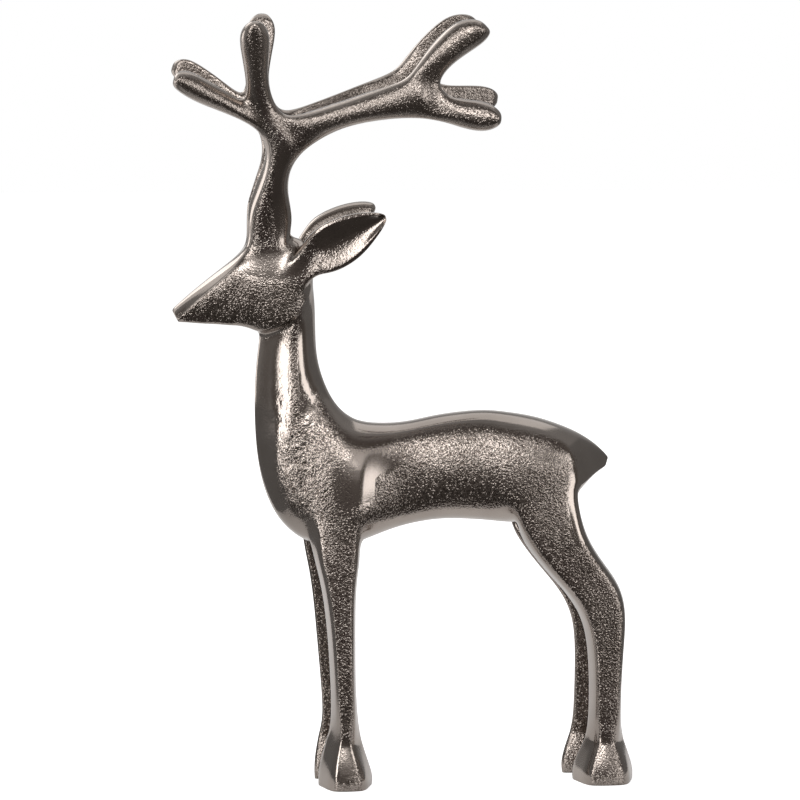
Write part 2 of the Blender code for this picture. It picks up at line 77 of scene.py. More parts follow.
# Each ring of the tube: name, back (x, z), belly (x, z), half-width share, section, bow to the tail
TORSO = (
    ("tail_tip", (70.0, 107.8), (69.0, 104.4), 0.08, TAIL_SIDE, 0),
    ("tail", (65.5, 112.5), (64.8, 102.0), 0.36, TAIL_SIDE, 0),
    ("rump", (59.5, 116.5), (61.0, 98.5), 0.74, TAIL_SIDE, 0),
    ("thigh_back", (53.0, 119.3), (58.0, 94.0), 0.92, HAUNCH_SIDE, 0),
    ("thigh_mid", (44.5, 122.3), (48.5, 89.0), 1.02, HAUNCH_SIDE, 0),
    ("thigh_front", (34.0, 124.0), (38.6, 85.0), 1.04, HAUNCH_SIDE, -3.0),
    ("loin", (27.0, 124.6), (31.6, 86.3), 0.93, ROUND_SIDE, -3.0),
    ("barrel", (16.5, 123.6), (16.5, 87.5), 0.95, ROUND_SIDE, 0),
    ("girth", (9.5, 122.5), (8.5, 86.9), 0.90, ROUND_SIDE, 0),
    ("shoulder_hollow", (0.0, 120.2), (-2.5, 84.8), 0.91, HOLLOW_SIDE, 0),
    ("leg_back", (-12.6, 120.6), (-14.4, 79.5), 0.99, SHOULDER_SIDE, -2.6),
    ("leg_mid", (-17.5, 123.0), (-23.0, 78.0), 0.97, SLAB_SIDE, -2.0),
    ("leg_front", (-21.0, 126.0), (-32.0, 79.3), 0.86, SLAB_SIDE, -1.0),
    ("chest", (-24.0, 130.5), (-41.8, 87.0), 0.68, SLAB_SIDE, 0),
    ("breast", (-26.5, 136.5), (-47.2, 99.8), 0.58, SLAB_SIDE, 0),
)
NECK = (
    ("neck_low", (-27.8, 143.0), (-49.6, 112.6), 1.10, NECK_SIDE, 0),
    ("neck_mid", (-28.2, 149.0), (-49.9, 127.0), 1.02, NECK_SIDE, 0),
    ("neck_high", (-28.4, 155.0), (-49.4, 138.0), 0.97, NECK_SIDE, 0.5),
    ("neck_top", (-28.6, 160.6), (-48.5, 145.4), 0.98, NECK_SIDE, 1.2),
    ("throat", (-29.4, 166.2), (-48.0, 150.2), 1.04, NECK_SIDE, 4.0),
)
HEAD = (
    ("cheek_edge", (-29.6, 168.2), (-49.2, 151.3), 1.04, HEAD_REAR, 4.4),
    ("ear_back", (-29.4, 173.6), (-51.0, 152.0), 1.06, HEAD_REAR, 3.4),
    ("ear_mid", (-30.2, 178.8), (-53.0, 152.5), 1.04, HEAD_REAR, 2.4),
    ("poll", (-33.0, 182.6), (-55.0, 152.8), 1.0, HEAD_REAR, 1.4),
    ("antler_back", (-37.0, 183.2), (-57.5, 153.0), 0.94, HEAD_MIDDLE, 0.6),
    ("antler_mid", (-43.5, 181.2), (-60.0, 153.2), 0.87, HEAD_MIDDLE, 0),
    ("antler_front", (-50.6, 180.0), (-63.0, 153.4), 0.80, FOREHEAD, 0),
    ("brow", (-57.5, 174.3), (-66.5, 153.6), 0.74, BROW_SIDE, 0),
    ("muzzle", (-67.6, 166.8), (-70.5, 154.0), 0.58, MUZZLE_SIDE, 0),
    ("nose", (-76.7, 158.9), (-74.2, 154.5), 0.42, NOSE_SIDE, 0),
)

# The first ring starts as half a circle, with one point for each row of a section
RING_POINTS = len(TAIL_SIDE)
bpy.ops.mesh.primitive_circle_add(vertices=2 * RING_POINTS - 2, radius=MM)
casting = bpy.context.object
casting.name = "reindeer_casting"
bpy.ops.object.mode_set(mode="EDIT")
cage = bmesh.from_edit_mesh(casting.data)
order = cage.verts.layers.int.new("order")
sharpness = cage.edges.layers.float.new("crease_edge")
cage.verts.ensure_lookup_table()
for number, corner in enumerate(cage.verts):
    corner[order] = number
    corner.select_set(number >= RING_POINTS)
bpy.ops.mesh.delete(type="VERT")
bpy.ops.mesh.select_mode(type="EDGE")
bpy.ops.mesh.select_all(action="SELECT")


def spot(x, out, z):
    """A place in metres from millimetres: along, out to the near side, up"""
    return Vector((x * MM, -out * MM, z * MM))


def half_ring(back, belly, half_width, section, bow):
    """Places of a ring's near half, from the back's middle line to the belly's"""
    span = (belly[0] - back[0], belly[1] - back[1])
    length = math.hypot(*span)
    places = []
    for along, out in section:
        push = bow * math.sin(math.pi * along)
        x = back[0] + span[0] * along - span[1] / length * push
        z = back[1] + span[1] * along + span[0] / length * push
        places.append(spot(x, out * half_width, z))
    return places


def settle_ring(places):
    """Put the selected points on their places, in ring order, and return them"""
    ring = sorted((corner for corner in cage.verts if corner.select), key=lambda corner: corner[order])
    for corner, place in zip(ring, places):
        corner.co = place
    return ring


def crease(chain, amount):
    """Keep the edges of a chain of points this sharp when the cage is rounded"""
    for start, end in zip(chain, chain[1:]):
        cage.edges.get((start, end))[sharpness] = amount


tube = {}
for stations, width in ((TORSO, TORSO_WIDTH), (NECK, NECK_WIDTH), (HEAD, HEAD_WIDTH)):
    for name, back, belly, share, section, bow in stations:
        if tube:
            bpy.ops.mesh.extrude_edges_move()
        tube[name] = settle_ring(half_ring(back, belly, share * width / 2, section, bow))


def pick(*parts):
    """Select just these points, edges or faces"""
    bpy.ops.mesh.select_all(action="DESELECT")
    for part in parts:
        part.select_set(True)


def fill(*corners):
    cage.faces.new(corners)


def close_end(ring):
    """Fill a tube end between its half ring and the middle line"""
    bpy.ops.mesh.select_mode(type="EDGE")
    pick(cage.edges.get((ring[2], ring[3])), cage.edges.get((ring[3], ring[4])))
    bpy.ops.mesh.extrude_edges_move()
    line = settle_ring([Vector((corner.co.x, 0, corner.co.z)) for corner in ring[2:5]])
    fill(ring[0], ring[1], ring[2], line[0])
    fill(line[2], ring[4], ring[5], ring[6])


close_end(tube["tail_tip"])
close_end(tube["nose"])
crease(tube["nose"], PANEL_EDGE)
crease(tube["cheek_edge"][1:6], CHEEK_EDGE)
crease(tube["leg_back"][2:5], CHEEK_EDGE)
crease(tube["thigh_back"][2:5], PANEL_EDGE)
crease(tube["thigh_front"][3:5], SOFT_EDGE)
crease([tube[name][4] for name in ("tail_tip", "tail", "rump", "thigh_back")], PANEL_EDGE)
throat_line = ["breast"] + [station[0] for station in NECK]
crease([tube[name][4] for name in throat_line], PANEL_EDGE)
snout = [tube[name] for name in ("antler_front", "brow", "muzzle", "nose")]
crease([ring[1] for ring in snout], SOFT_EDGE)
crease([ring[2] for ring in snout], SOFT_EDGE)
crease([tube[station[0]][5] for station in HEAD], PANEL_EDGE)


# The legs grow out of the shoulder and the haunch. Each is a flat-sided bar with bevelled front
# and back, ending in a flared hoof with a flat sole. Rows are front edge (x, z), back edge (x, z),
# width share.
FRONT_LEG_MIDDLE = 10.5
HIND_LEG_MIDDLE = 10.8
LEG_WIDTH = 8.6
HOOF_WIDTH = 15.0
HOOF_CORNER = 0.86
FRONT_BEVEL = 1.4
REAR_BEVEL = 1.4
HOOF_BEVEL = 3.8
BEVEL_SPREAD = 0.28
FRONT_LEG = (
    ((-29.6, 75.0), (-14.8, 75.0), 1.0),
    ((-28.0, 69.0), (-15.8, 69.0), 1.0),
    ((-26.4, 60.0), (-16.4, 60.0), 1.0),
    ((-25.2, 48.0), (-16.4, 48.0), 1.0),
    ((-24.3, 32.5), (-16.4, 32.5), 1.0),
    ((-24.1, 20.0), (-15.6, 20.0), 1.0),
)
FRONT_HOOF = (
    ((-25.6, 13.8), (-14.8, 13.8), 0.60),
    ((-27.4, 7.5), (-12.7, 7.5), 0.86),
    ((-28.1, 2.2), (-10.8, 2.2), 1.0),
    ((-28.0, -1.0), (-11.2, -1.0), 0.97),
)
HIND_LEG = (
    ((39.2, 82.0), (59.5, 87.5), 1.06),
    ((43.2, 76.0), (61.9, 80.5), 1.04),
    ((49.0, 69.0), (66.5, 73.3), 1.02),
    ((55.5, 62.0), (73.0, 65.0), 1.0),
    ((60.7, 53.5), (75.0, 55.5), 1.0),
    ((62.5, 42.0), (73.9, 43.0), 1.0),
    ((62.8, 27.0), (73.1, 27.0), 1.0),
    ((62.4, 17.5), (73.3, 17.5), 1.0),
)
HIND_HOOF = (
    ((61.6, 12.6), (73.8, 12.8), 0.60),
    ((59.1, 7.0), (76.0, 7.0), 0.86),
    ((57.6, 2.4), (77.5, 2.4), 1.0),
    ((58.0, -1.0), (77.2, -1.0), 0.97),
)


def limb_places(left, right, inner, outer, inner_ridge, outer_ridge):
    """Six places round a limb: inner left to right, then outer right to left"""
    middle = ((left[0] + right[0]) / 2, (left[1] + right[1]) / 2)
    inward = ((left, inner), (middle, inner_ridge), (right, inner))
    outward = ((right, outer), (middle, outer_ridge), (left, outer))
    return [spot(place[0], out, place[1]) for place, out in inward + outward]


def start_limb(ring):
    """Number the six points round a pair of faces and select the pair, ready to extrude"""
    for number, corner in enumerate(ring):
        corner[order] = number
    bpy.ops.mesh.select_mode(type="FACE")
    near = {ring[0], ring[1], ring[4], ring[5]}
    far = {ring[1], ring[2], ring[3], ring[4]}
    pick(*[face for face in cage.faces if set(face.verts) in (near, far)])


def pull_limb(ring, rows):
    """Extrude the selected pair of faces from place to place; return every ring"""
    rings = [ring]
    for places in rows:
        bpy.ops.mesh.extrude_region_move()
        rings.append(settle_ring(places))
    return rings


def trunk_opening(names, low, high):
    """Six trunk points: inner front to back, then outer back to front"""
    front, middle, rear = (tube[name] for name in names)
    return [front[low], middle[low], rear[low], rear[high], middle[high], front[high]]


def bevelled(places, front, rear):
    """Bevel the front and rear: draw the outward side in and spread the inward side a little"""
    along = (places[2] - places[0]).normalized() * MM
    places[0] = places[0] - along * front * BEVEL_SPREAD
    places[2] = places[2] + along * rear * BEVEL_SPREAD
    places[3] = places[3] - along * rear * (1 - BEVEL_SPREAD)
    places[5] = places[5] + along * front * (1 - BEVEL_SPREAD)
    return places


def leg(names, shank, hoof, middle):
    """Extrude a leg from an opening in the trunk down to its sole, with its edges creased"""
    ring = trunk_opening(names, 5, 4)
    start_limb(ring)
    rows = []
    kinds = (
        (shank, LEG_WIDTH, 1, FRONT_BEVEL, REAR_BEVEL),
        (hoof, HOOF_WIDTH, HOOF_CORNER, HOOF_BEVEL, HOOF_BEVEL),
    )
    for stations, width, corner_share, front_bevel, rear_bevel in kinds:
        for front, back, share in stations:
            half = share * width / 2
            corner = half * corner_share
            edges = (middle - corner, middle + corner)
            ridges = (middle - half, middle + half)
            places = limb_places(front, back, *edges, *ridges)
            rows.append(bevelled(places, front_bevel, rear_bevel))
    rings = pull_limb(ring, rows)
    hooves = rings[len(shank) + 1:]
    for inward, outward in ((0, 5), (2, 3)):
        crease([ring[inward] for ring in rings], PANEL_EDGE)
        crease([ring[outward] for ring in rings[:len(shank) + 1]], SOFT_EDGE)
        crease([ring[outward] for ring in hooves], SOFT_EDGE)
    crease(hooves[0] + hooves[0][:1], CHEEK_EDGE)
    crease(hooves[-1] + hooves[-1][:1], BLADE)


leg(("leg_front", "leg_mid", "leg_back"), FRONT_LEG, FRONT_HOOF, FRONT_LEG_MIDDLE)
leg(("thigh_front", "thigh_mid", "thigh_back"), HIND_LEG, HIND_HOOF, HIND_LEG_MIDDLE)


# The ears are flat leaves with a rolled rim round a shallow hollow on the outward face. Rows are
# top edge (x, z), bottom edge (x, z), distance from the middle.
EAR_THICKNESS = 4.2
EAR_RIM = 1.1
EAR_HOLLOW = 0.7
EAR_CUP = 2.4
EAR_BACK = 1.3
EAR = (
    ((-32.2, 184.0), (-28.6, 170.8), 9.0),
    ((-27.2, 188.4), (-21.8, 172.6), 10.8),
    ((-19.4, 191.4), (-15.0, 177.4), 13.0),
    ((-12.4, 192.4), (-10.2, 184.0), 15.0),
    ((-7.8, 191.8), (-7.0, 189.4), 16.4),
)

ear_root = trunk_opening(("poll", "ear_mid", "ear_back"), 1, 2)
start_limb(ear_root)
leaf = []
for top, bottom, out in EAR:
    inner = out - EAR_THICKNESS / 2
    outer = out + EAR_THICKNESS / 2
    leaf.append(limb_places(top, bottom, inner, outer, inner - EAR_BACK, outer - EAR_CUP))
ear_rings = pull_limb(ear_root, leaf)
for number in (3, 5):
    crease([ring[number] for ring in ear_rings[1:]], PANEL_EDGE)
leaf_face = set()
for ring in ear_rings[1:]:
    leaf_face.update(ring[3:6])
pick(*[face for face in cage.faces if leaf_face.issuperset(face.verts)])
bpy.ops.mesh.inset(thickness=EAR_RIM * MM, depth=-EAR_HOLLOW * MM, use_even_offset=True)


# The antlers are flat on the inward face and raised to a ridge on the outward one. The stem
# forks into brow tine, middle tine and rear beam, and the beam forks once more. Rows are left
# edge (x, z), right edge (x, z), distance from the middle.
ANTLER_THICKNESS = 6.2
ANTLER_RIM = 4.0
STEM_BEVEL = 2.2
CAGE_ALLOWANCE = 0.10
STEM_RIDGE = 0.60
TINE_RIDGE = 0.46
BEAM_RIDGE = 0.58
STEM = (
    ((-51.9, 188.0), (-37.4, 188.5), 4.4),
    ((-49.2, 197.0), (-39.8, 197.5), 6.0),
    ((-46.1, 207.0), (-38.6, 206.0), 8.0),
)
STEM_FORK = ((-46.2, 218.2), (-52.8, 227.4), (-42.0, 223.8), (-33.6, 211.4))
STEM_FORK_HEART = (-43.6, 219.4)
STEM_FORK_OUT = 10.6
BROW_TINE = (
    ((-59.8, 224.7), (-58.2, 230.0), 12.7),
    ((-68.4, 228.1), (-66.0, 234.4), 14.2),
    ((-74.0, 231.4), (-72.2, 237.9), 15.4),
    ((-76.8, 233.6), (-76.0, 236.8), 16.0),
)
MIDDLE_TINE = (
    ((-52.2, 234.5), (-46.2, 233.4), 13.2),
    ((-53.2, 242.0), (-46.2, 241.6), 15.2),
    ((-54.7, 249.7), (-45.6, 249.7), 17.0),
    ((-51.8, 254.2), (-48.4, 254.2), 18.0),
)
REAR_BEAM = (
    ((-36.3, 222.2), (-28.8, 216.2), 12.0),
    ((-27.4, 225.2), (-23.2, 219.2), 13.6),
    ((-17.0, 228.9), (-15.2, 221.9), 16.0),
    ((-7.0, 232.5), (-4.5, 223.6), 18.6),
)
BEAM_FORK = ((-0.8, 236.0), (8.4, 234.2), (4.5, 222.8))
BEAM_FORK_HEART = (3.6, 230.2)
BEAM_FORK_OUT = 20.6
UPPER_TINE = (
    ((3.5, 241.6), (12.0, 240.2), 21.4),
    ((9.7, 249.0), (17.6, 244.5), 22.0),
    ((15.8, 254.3), (23.2, 248.2), 22.2),
    ((22.4, 254.9), (25.8, 251.4), 22.2),
)
LOWER_TINE = (
    ((12.5, 229.1), (12.0, 222.2), 22.0),
    ((19.0, 228.3), (19.0, 220.0), 23.4),
    ((25.4, 227.6), (25.2, 219.6), 24.6),
    ((29.2, 225.0), (29.0, 221.6), 25.2),
)


def antler_row(left, right, out, ridge_share, bevel=0):
    """A ring across an antler branch, a little wide because rounding draws it in"""
    inner = out - ANTLER_THICKNESS / 2
    spare = [(left[axis] - right[axis]) * CAGE_ALLOWANCE for axis in (0, 1)]
    wide_left = (left[0] + spare[0], left[1] + spare[1])
    wide_right = (right[0] - spare[0], right[1] - spare[1])
    places = limb_places(wide_left, wide_right, inner, inner + ANTLER_RIM, inner, inner + ANTLER_THICKNESS)
    ridge = [wide_left[axis] + (wide_right[axis] - wide_left[axis]) * ridge_share for axis in (0, 1)]
    places[4] = spot(ridge[0], inner + ANTLER_THICKNESS, ridge[1])
    places[5] = places[5] + Vector((bevel * MM, -bevel * MM, 0))
    return places


def fork_row(left, middle, right, out):
    """A ring across a fork, whose ridge point needn't be halfway"""
    inner = out - ANTLER_THICKNESS / 2
    rim = inner + ANTLER_RIM
    ridge = inner + ANTLER_THICKNESS
    inward = [spot(x, inner, z) for x, z in (left, middle, right)]
    outward = [spot(place[0], out, place[1]) for place, out in ((right, rim), (middle, ridge), (left, rim))]
    return inward + outward


def halfway(one, other):
    return ((one[0] + other[0]) / 2, (one[1] + other[1]) / 2)


def branch(ring, stations, ridge_share, bevel=0):
    """Extrude an antler branch from six points round a pair of faces"""
    start_limb(ring)
    rings = pull_limb(ring, [antler_row(*station, ridge_share, bevel) for station in stations])
    for number in (0, 2):
        crease([ring[number] for ring in rings[1:]], PANEL_EDGE)
    return rings[-1]


def side_ring(low, middle, high, at):
    """Six points round the two faces on a fork's left (at 0) or right (at 2) side"""
    other = 5 - at
    inward = [low[at], middle[at], high[at]]
    outward = [high[other], middle[other], low[other]]
    return inward + outward


antler_root = trunk_opening(("antler_front", "antler_mid", "antler_back"), 0, 1)
stem_top = branch(antler_root, STEM, STEM_RIDGE, STEM_BEVEL)
low_left, top_left, top_right, low_right = STEM_FORK
fork_rows = (
    (low_left, halfway(low_left, low_right), low_right),
    (halfway(low_left, top_left), STEM_FORK_HEART, halfway(low_right, top_right)),
    (top_left, halfway(top_left, top_right), top_right),
)
low, heart, top = pull_limb(stem_top, [fork_row(*row, STEM_FORK_OUT) for row in fork_rows])[1:]
branch(side_ring(low, heart, top, 0), BROW_TINE, TINE_RIDGE)
branch(top, MIDDLE_TINE, TINE_RIDGE)
beam_end = branch(side_ring(top, heart, low, 2), REAR_BEAM, BEAM_RIDGE)

top_left, far_right, low_right = BEAM_FORK
fork_rows = (
    (top_left, halfway(top_left, low_right), low_right),
    (halfway(top_left, far_right), BEAM_FORK_HEART, halfway(far_right, low_right)),
)
root, heart = pull_limb(beam_end, [fork_row(*row, BEAM_FORK_OUT) for row in fork_rows])[1:]
bpy.ops.mesh.delete(type="ONLY_FACE")
web = cage.edges.get((heart[1], heart[4]))
cage.edges.remove(web)
inner = BEAM_FORK_OUT - ANTLER_THICKNESS / 2
tip_in = cage.verts.new(spot(far_right[0], inner, far_right[1]))
tip_out = cage.verts.new(spot(far_right[0], inner + ANTLER_RIM, far_right[1]))
fill(heart[1], heart[0], tip_in, heart[2])
fill(heart[4], heart[3], tip_out, heart[5])
fill(heart[0], heart[5], tip_out, tip_in)
fill(tip_in, tip_out, heart[3], heart[2])
branch([root[0], heart[0], tip_in, tip_out, heart[5], root[5]], UPPER_TINE, BEAM_RIDGE)
branch([tip_in, heart[2], root[2], root[3], heart[3], tip_out], LOWER_TINE, BEAM_RIDGE)


# The far half is the near one mirrored, then bent a little, because the real casting isn't quite
# symmetrical: its far tines and legs sit a little off. The head and antlers also lean to the
# near side. Bends are (x, z), reach, shift in x and in z.
FAR_BENDS = (
    (-78.0, 238.0, 34.0, 0.6, 2.0),
    (-50.0, 260.0, 44.0, 5.0, 0.6),
    (24.0, 256.0, 44.0, 2.6, -0.6),
    (32.0, 223.0, 34.0, 5.6, 2.6),
    (65.0, 22.0, 62.0, -2.6, 0.0),
    (-24.0, 50.0, 66.0, -2.6, 0.0),
)
HEAD_LEAN = 4.2
LEAN_START = 136.0
LEAN_END = 156.0
MERGE_WITHIN = 0.00001
ROUNDINGS = 3


def smooth_share(share):
    """A share eased in and out, held between 0 and 1"""
    share = min(max(share, 0), 1)
    return share * share * (3 - 2 * share)


def bend(place):
    """Shift a place on the far half by every bend within reach"""
    moved = place.copy()
    for x, z, reach, shift_x, shift_z in FAR_BENDS:
        away = math.hypot(place.x / MM - x, place.z / MM - z) / reach
        eased = smooth_share(1 - away)
        moved.x += shift_x * eased * MM
        moved.z += shift_z * eased * MM
    return moved


def lean(place):
    """Turn a place to the near side, easing in up the neck between LEAN_START and LEAN_END"""
    eased = smooth_share((place.z / MM - LEAN_START) / (LEAN_END - LEAN_START))
    pivot = Vector((0, 0, (LEAN_START + LEAN_END) / 2 * MM))
    turn = Matrix.Rotation(math.radians(HEAD_LEAN) * eased, 3, "X")
    return pivot + turn @ (place - pivot)


bpy.ops.object.mode_set(mode="OBJECT")
mirror = casting.modifiers.new("far half", "MIRROR")
mirror.use_axis = (False, True, False)
mirror.merge_threshold = MERGE_WITHIN
bpy.ops.object.modifier_apply(modifier=mirror.name)
for corner in casting.data.vertices:
    if corner.co.y > 0:
        corner.co = bend(corner.co)
    corner.co = lean(corner.co)
bpy.ops.object.mode_set(mode="EDIT")
bpy.ops.mesh.select_all(action="SELECT")
bpy.ops.mesh.normals_make_consistent(inside=False)
bpy.ops.object.mode_set(mode="OBJECT")
rounding = casting.modifiers.new("rounding", "SUBSURF")
rounding.levels = ROUNDINGS
rounding.render_levels = ROUNDINGS
bpy.ops.object.modifier_apply(modifier=rounding.name)
bpy.ops.object.shade_smooth()

# It stands where the solid stands
solid_low, solid_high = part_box("reindeer")
places = np.empty(len(casting.data.vertices) * 3)
casting.data.vertices.foreach_get("co", places)
places = places.reshape(-1, 3)
lowest = places.min(axis=0)
middle = (lowest + places.max(axis=0)) / 2
solid_middle = [(solid_low[axis] + solid_high[axis]) / 2 for axis in (0, 1)]
shift = Vector((solid_middle[0] - middle[0], solid_middle[1] - middle[1], solid_low[2] - lowest[2]))
casting.data.transform(Matrix.Translation(shift))

# The finish: polished where the wheel reached, grainy on the flat sides. Polished patches are
# middle (x, z), reach in x and in z, and the share of grain left in them. Grain fades in over a
# range of how far the surface faces sideways. Round a patch it comes back from PATCH_CORE of the
# patch's reach, over PATCH_FADE of it.
GRAIN_START = 0.76
GRAIN_RANGE = 0.14
PATCH_CORE = 0.75
PATCH_FADE = 0.35
POLISHED = (
    (-11.0, 107.5, 9.5, 5.0, 0.0),
    (-13.5, 101.0, 5.0, 8.0, 0.0),
    (-19.5, 101.0, 5.0, 10.0, 0.3),
    (-13.0, 114.5, 10.0, 5.0, 0.3),
    (58.0, 94.0, 4.5, 16.0, 0.0),
    (50.0, 110.0, 8.0, 4.0, 0.3),
    (-44.0, 173.0, 13.0, 5.5, 0.2),
    (-41.5, 134.0, 4.5, 20.0, 0.1),
    (-32.0, 140.0, 4.0, 22.0, 0.0),
    (-40.5, 195.0, 3.5, 18.0, 0.0),
    (-10.0, 235.0, 48.0, 26.0, 0.7),
    (-60.0, 232.0, 22.0, 24.0, 0.7),
    (-18.0, 183.0, 14.0, 10.0, 0.3),
    (-21.5, 9.0, 5.0, 8.0, 0.15),
    (66.0, 9.0, 5.0, 8.0, 0.5),
)
facing = np.empty(len(casting.data.vertices) * 3)
casting.data.vertices.foreach_get("normal", facing)
sideways = np.abs(facing.reshape(-1, 3)[:, 1])
grain_share = np.clip((sideways - GRAIN_START) / GRAIN_RANGE, 0, 1)
for x, z, reach_x, reach_z, left_over in POLISHED:
    away = np.hypot((places[:, 0] / MM - x) / reach_x, (places[:, 2] / MM - z) / reach_z)
    faded = np.clip((away - PATCH_CORE) / PATCH_FADE, 0, 1)
    grain_share *= left_over + (1 - left_over) * faded
grain_mask = casting.data.attributes.new("grain", "FLOAT", "POINT")
grain_mask.data.foreach_set("value", grain_share)

# The chest's skin is lumpy as it came out of the sand
LUMPY_MIDDLE = (-36.0, 112.0)
LUMPY_REACH = (13.0, 30.0)
LUMPY_START = 0.5
LUMPY_RANGE = 0.3
off = [(places[:, axis] / MM - LUMPY_MIDDLE[axis // 2]) / LUMPY_REACH[axis // 2] for axis in (0, 2)]
lumpy = np.clip(1 - np.hypot(*off), 0, 1) * np.clip((sideways - LUMPY_START) / LUMPY_RANGE, 0, 1)
lump_mask = casting.data.attributes.new("lumpy", "FLOAT", "POINT")
lump_mask.data.foreach_set("value", lumpy)

nickel = bpy.data.materials.new("dark_nickel")
nickel.use_nodes = True
nodes = nickel.node_tree.nodes
links = nickel.node_tree.links
surface = nodes["Principled BSDF"]
surface.inputs["Metallic"].default_value = 1
coordinates = nodes.new("ShaderNodeTexCoord")


def noise(scale, detail, stretch=(1, 1, 1)):
    """Noise on Object coordinates, stretched along an axis where a share is under one"""
    place = nodes.new("ShaderNodeMapping")
    place.inputs["Scale"].default_value = stretch
    pattern = nodes.new("ShaderNodeTexNoise")
    pattern.inputs["Scale"].default_value = scale
    pattern.inputs["Detail"].default_value = detail
    links.new(coordinates.outputs["Object"], place.inputs["Vector"])
    links.new(place.outputs["Vector"], pattern.inputs["Vector"])
    return pattern.outputs["Fac"]


def math_of(operation, one, other, third=0):
    """A math node over sockets or plain numbers"""
    node = nodes.new("ShaderNodeMath")
    node.operation = operation
    for socket, value in zip(node.inputs, (one, other, third)):
        if isinstance(value, (int, float)):
            socket.default_value = value
        else:
            links.new(value, socket)
    return node.outputs[0]


def spread(value, low, high, new_low, new_high):
    """A value eased from one range into another"""
    node = nodes.new("ShaderNodeMapRange")
    node.interpolation_type = "SMOOTHSTEP"
    for name, limit in (("From Min", low), ("From Max", high), ("To Min", new_low), ("To Max", new_high)):
        node.inputs[name].default_value = limit
    links.new(value, node.inputs["Value"])
    return node.outputs[0]


# Sand grains, beads and lumps stand out where the grain is; brushing runs along the figure all
# over. Heights are in millimetres.
BEAD_HEIGHT = 0.10
SAND_HEIGHT = 0.20
LUMP_HEIGHT = 0.12
BRUSH_HEIGHT = 0.010
SKIN_HEIGHT = 0.9
mask = nodes.new("ShaderNodeAttribute")
mask.attribute_name = "grain"
grain = mask.outputs["Fac"]
sand = noise(1500, 2)
lumps = noise(420, 2)
beads = nodes.new("ShaderNodeTexVoronoi")
beads.inputs["Scale"].default_value = 1450
links.new(coordinates.outputs["Object"], beads.inputs["Vector"])
wear = noise(60, 3)
brush = noise(2600, 2, (0.06, 1, 1))

bead_depth = spread(beads.outputs["Distance"], 0.0, 0.45, BEAD_HEIGHT, 0.0)
sand_depth = math_of("MULTIPLY_ADD", sand, SAND_HEIGHT, bead_depth)
rough_depth = math_of("MULTIPLY_ADD", lumps, LUMP_HEIGHT, sand_depth)
grain_depth = math_of("MULTIPLY", rough_depth, grain)
brush_depth = math_of("MULTIPLY_ADD", brush, BRUSH_HEIGHT, grain_depth)
skin = nodes.new("ShaderNodeAttribute")
skin.attribute_name = "lumpy"
skin_depth = math_of("MULTIPLY", noise(260, 3), skin.outputs["Fac"])
relief = math_of("MULTIPLY_ADD", skin_depth, SKIN_HEIGHT, brush_depth)
bump = nodes.new("ShaderNodeBump")
bump.inputs["Distance"].default_value = MM
links.new(relief, bump.inputs["Height"])
links.new(bump.outputs["Normal"], surface.inputs["Normal"])

# Painted shade: the base colour is painted darker in the hollows of the grain, and it also varies at random
# with wear; the antlers are more satin than the body
SATIN_FROM = 0.200
SATIN_ABOVE = 0.212
# Painted shade in the grain's hollows, where the sand noise is low, only where the grain is
painted_pit_shade = spread(sand, 0.32, 0.55, 0.0, 1.0)
painted_pit_shade_in_grain = math_of("MULTIPLY_ADD", math_of("SUBTRACT", painted_pit_shade, 1.0), grain, 1.0)
tone = nodes.new("ShaderNodeMix")
tone.data_type = "RGBA"
tone.inputs["A"].default_value = (0.16, 0.132, 0.114, 1)
tone.inputs["B"].default_value = (0.40, 0.352, 0.318, 1)
worn = spread(wear, 0.3, 0.7, 0.75, 1.0)
# The base colour's mix: the painted shade in the hollows, times the random worn tone
links.new(math_of("MULTIPLY", painted_pit_shade_in_grain, worn), tone.inputs["Factor"])
links.new(tone.outputs["Result"], surface.inputs["Base Color"])
polish = spread(wear, 0.3, 0.7, 0.12, 0.17)
directions = nodes.new("ShaderNodeSeparateXYZ")
links.new(coordinates.outputs["Object"], directions.inputs[0])
satin = spread(directions.outputs["Z"], SATIN_FROM, SATIN_ABOVE, 0.0, 0.08)
roughness = math_of("MULTIPLY_ADD", grain, 0.03, polish)
links.new(math_of("ADD", roughness, satin), surface.inputs["Roughness"])
casting.data.materials.clear()
casting.data.materials.append(nickel)

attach(casting, "root")
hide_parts("reindeer")


# The table: a pale sheet under and behind the figure, and one in front of it that the metal
# doesn't mirror, because the real one's sides are dark there. The paper glows, less to reflections
# than to the camera.
TABLE_EDGE = 0.026
TABLE_DEPTH = 6.0
paper = bpy.data.materials.new("pale_paper")
paper.use_nodes = True
sheet = paper.node_tree.nodes["Principled BSDF"]
sheet.inputs["Base Color"].default_value = (0.9, 0.9, 0.9, 1)
sheet.inputs["Roughness"].default_value = 0.9
sheet.inputs["Specular IOR Level"].default_value = 0.1
sheet.inputs["Emission Color"].default_value = (1, 1, 1, 1)
glow = paper.node_tree.nodes.new("ShaderNodeMapRange")
glow.inputs["To Min"].default_value = 0.20
glow.inputs["To Max"].default_value = 0.80
looked_at = paper.node_tree.nodes.new("ShaderNodeLightPath")
paper.node_tree.links.new(looked_at.outputs["Is Camera Ray"], glow.inputs["Value"])
paper.node_tree.links.new(glow.outputs[0], sheet.inputs["Emission Strength"])
for name, side in (("pale_table", 1), ("pale_table_front", -1)):
    bpy.ops.mesh.primitive_plane_add(size=TABLE_DEPTH, location=(0, 0, 0))
    table = bpy.context.object
    table.name = name
    table.data.transform(Matrix.Translation((0, side * TABLE_DEPTH / 2 - TABLE_EDGE, 0)))
    table.visible_glossy = side > 0
    table.data.materials.append(paper)

